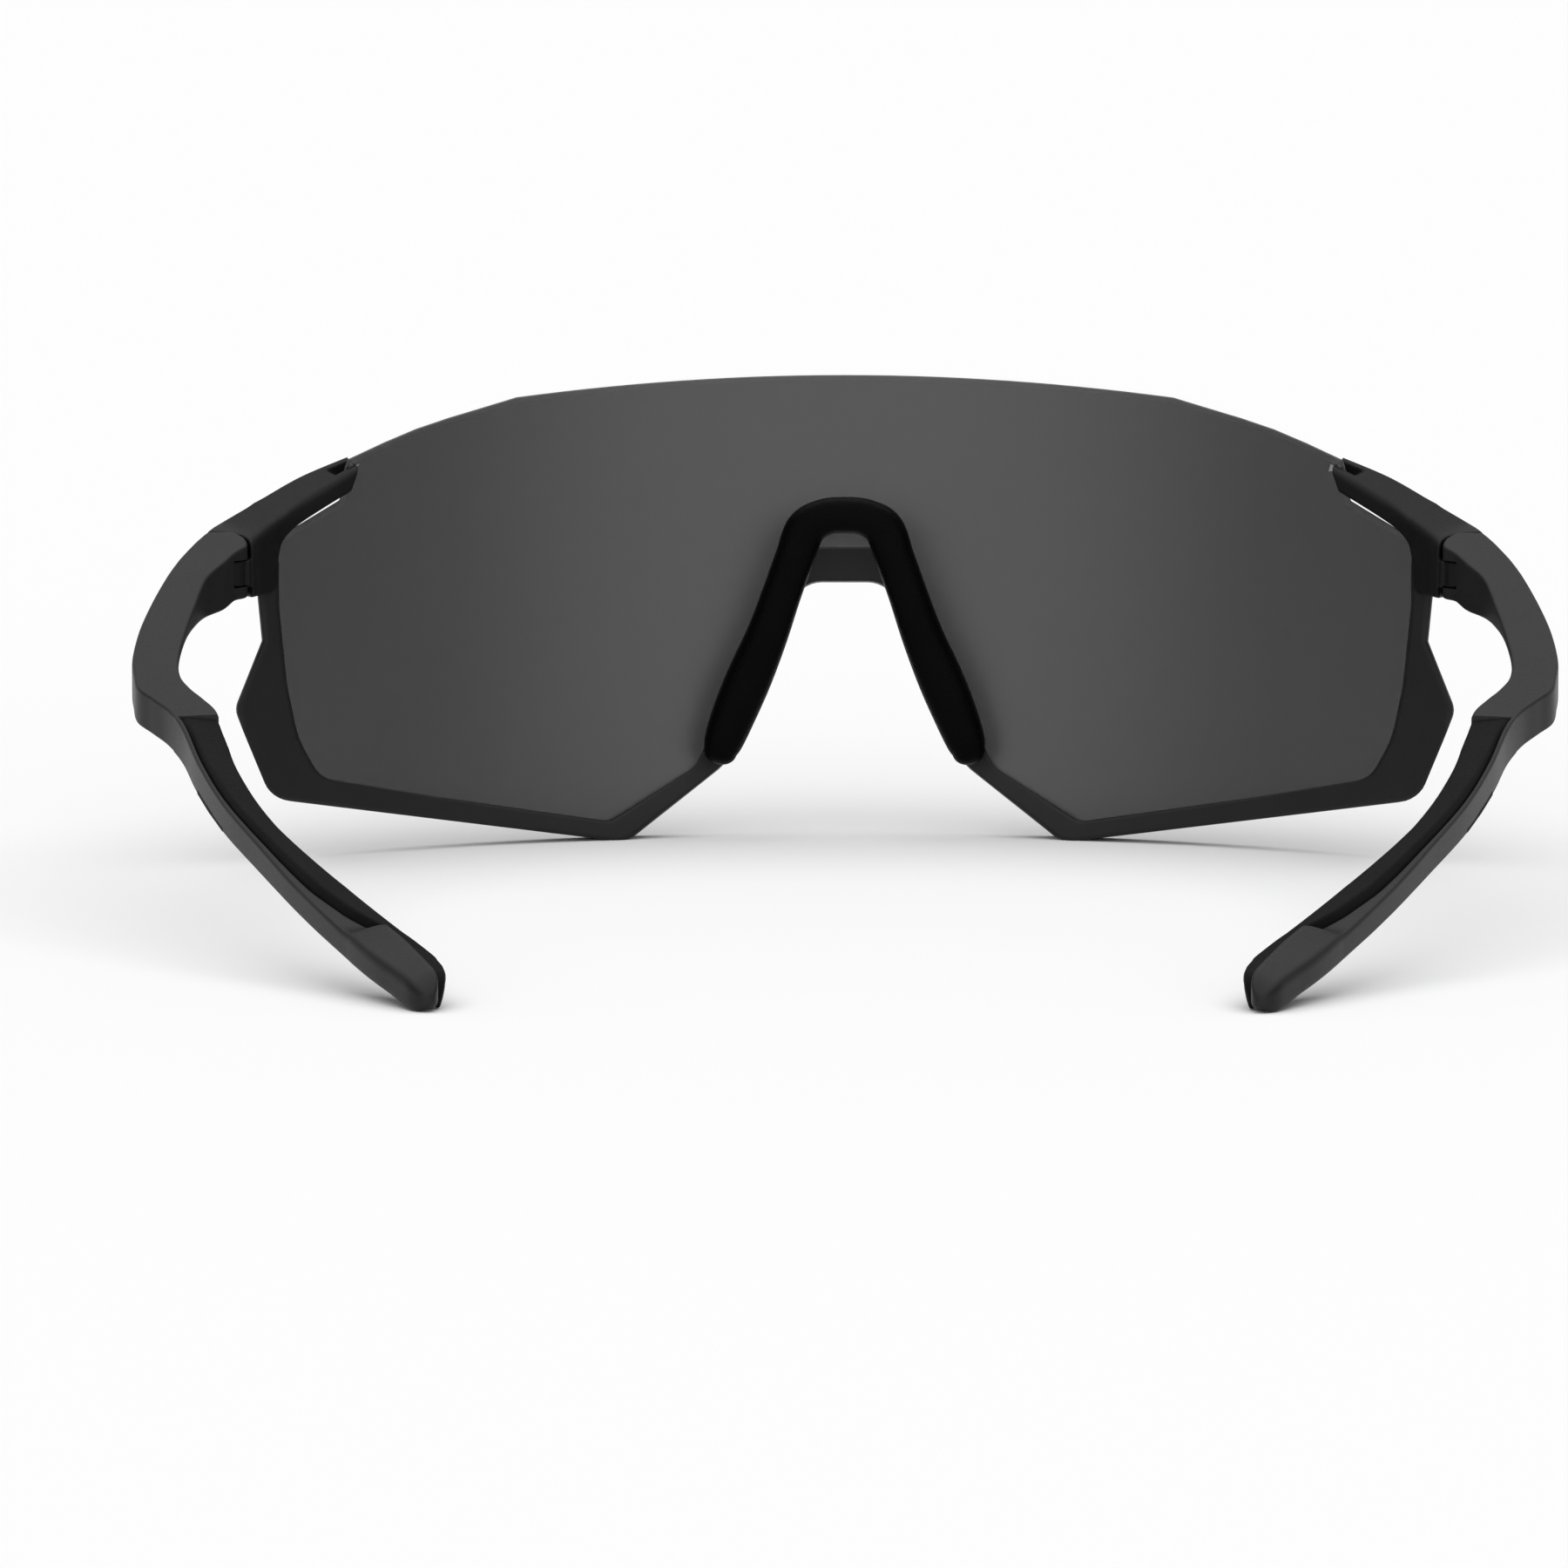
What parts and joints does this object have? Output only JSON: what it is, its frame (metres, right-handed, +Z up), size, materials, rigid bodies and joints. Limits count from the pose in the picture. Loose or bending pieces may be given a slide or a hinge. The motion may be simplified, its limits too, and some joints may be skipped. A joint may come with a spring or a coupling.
{
  "type": "sport sunglasses",
  "caption": "Wraparound shield-lens sport sunglasses with a lower half rim, soft nose pad and two folding temples with rubber grips.",
  "frame": {"origin": "centre of the opened glasses' footprint, on the plane they rest on", "axes": "+X to the wearer's right, +Y the way the wearer looks, +Z up"},
  "size_m": [0.1552, 0.162, 0.0541],
  "materials": {
    "lens": "polished dark grey tint",
    "rim": "fine matt",
    "endpiece": "fine matt",
    "temple": "satin dark grey",
    "grip_rubber": "soft grained rubber",
    "nose_rubber": "soft grained rubber",
    "clip": "moulded",
    "wire": "drawn wire",
    "screw": "plated",
    "insert": "turned"
  },
  "bodies": {
    "front": {"lens": "lens", "lower_rim": "rim", "left_endpiece": "endpiece", "right_endpiece": "endpiece", "nose_pad": "nose_rubber", "nose_pad_core": "wire", "left_nose_clip": "clip", "right_nose_clip": "clip"},
    "left_arm": {"left_temple": "temple", "left_temple_grip": "grip_rubber", "left_outer_grip": "grip_rubber", "left_hinge_screw": "screw", "left_hinge_insert": "insert"},
    "right_arm": {"right_temple": "temple", "right_temple_grip": "grip_rubber", "right_outer_grip": "grip_rubber", "right_hinge_screw": "screw", "right_hinge_insert": "insert"}
  },
  "joints": [
    {"name": "left_temple_fold", "type": "hinge", "parent": "front", "child": "left_arm", "pos_m": [-0.0698, 0.037, 0.034], "axis": [0, 0, 1], "range_deg": [0, 76]},
    {"name": "right_temple_fold", "type": "hinge", "parent": "front", "child": "right_arm", "pos_m": [0.0698, 0.037, 0.034], "axis": [0, 0, -1], "range_deg": [0, 68]}
  ]
}
